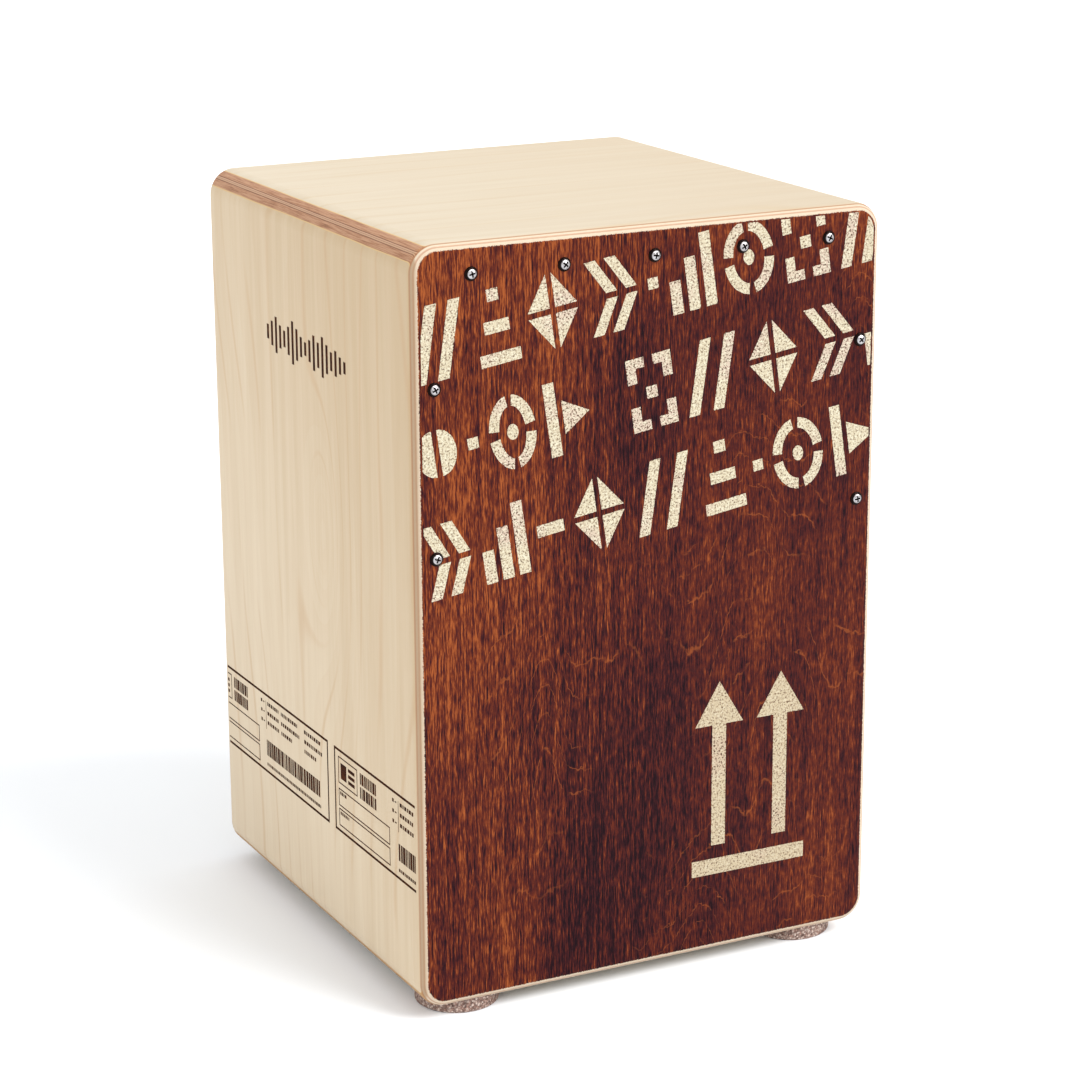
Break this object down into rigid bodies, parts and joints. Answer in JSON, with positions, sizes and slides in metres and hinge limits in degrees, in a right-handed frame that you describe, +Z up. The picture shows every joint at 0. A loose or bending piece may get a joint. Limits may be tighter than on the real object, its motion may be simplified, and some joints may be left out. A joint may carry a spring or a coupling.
{
  "type": "cajon",
  "caption": "Plywood box drum to sit on: a thin screwed playing panel in front, a round sound hole behind, round feet below and a lift-out snare bar inside.",
  "frame": {"origin": "on the floor, under the middle of the box", "axes": "+Z up, +Y from the playing panel towards the back panel, +X to the right of someone facing the playing panel"},
  "size_m": [0.3, 0.3023, 0.455],
  "materials": {
    "box_ply": "clear satin varnish over pale veneer, plies showing at the rounded edges",
    "back_ply": "clear satin varnish over pale veneer",
    "playing_face": "dark red-brown stain over figured veneer, satin",
    "batten_wood": "planed, unfinished",
    "holder_wood": "planed hardwood, oiled",
    "bar_wood": "planed hardwood, oiled",
    "slot_felt": "pressed felt",
    "foot_cork": "pressed rubber and cork granules",
    "screw_steel": "zinc plated",
    "washer_steel": "zinc plated",
    "coil_steel": "bright wire",
    "plate_brass": "stamped strip",
    "stencil_paint": "thin matt stencil paint, worn and speckled",
    "burnt_print": "dark brown mark burnt into the veneer"
  },
  "bodies": {
    "cabinet": {"left_side_panel": "box_ply", "right_side_panel": "box_ply", "seat_panel": "box_ply", "base_panel": "box_ply", "back_panel": "back_ply", "playing_panel": "playing_face", "front_top_batten": "batten_wood", "front_bottom_batten": "batten_wood", "front_left_batten": "batten_wood", "front_right_batten": "batten_wood", "back_top_batten": "batten_wood", "back_bottom_batten": "batten_wood", "back_left_batten": "batten_wood", "back_right_batten": "batten_wood", "foot_front_left": "foot_cork", "foot_front_right": "foot_cork", "foot_back_left": "foot_cork", "foot_back_right": "foot_cork", "foot_washers": "washer_steel", "foot_screws": "screw_steel", "top_row_screws": "screw_steel", "side_screws": "screw_steel", "snare_holder_left": "holder_wood", "holder_felt_left": "slot_felt", "snare_holder_screws_left": "screw_steel", "snare_holder_right": "holder_wood", "holder_felt_right": "slot_felt", "snare_holder_screws_right": "screw_steel"},
    "snare_unit": {"snare_bar": "bar_wood", "snare_coils_left": "coil_steel", "snare_end_plate_left": "plate_brass", "snare_plate_screws_left": "screw_steel", "snare_coils_right": "coil_steel", "snare_end_plate_right": "plate_brass", "snare_plate_screws_right": "screw_steel"}
  },
  "joints": [
    {"name": "snare_lift", "type": "slide", "parent": "cabinet", "child": "snare_unit", "axis": [0, 0, 1], "range_m": [0, 0.034]}
  ]
}
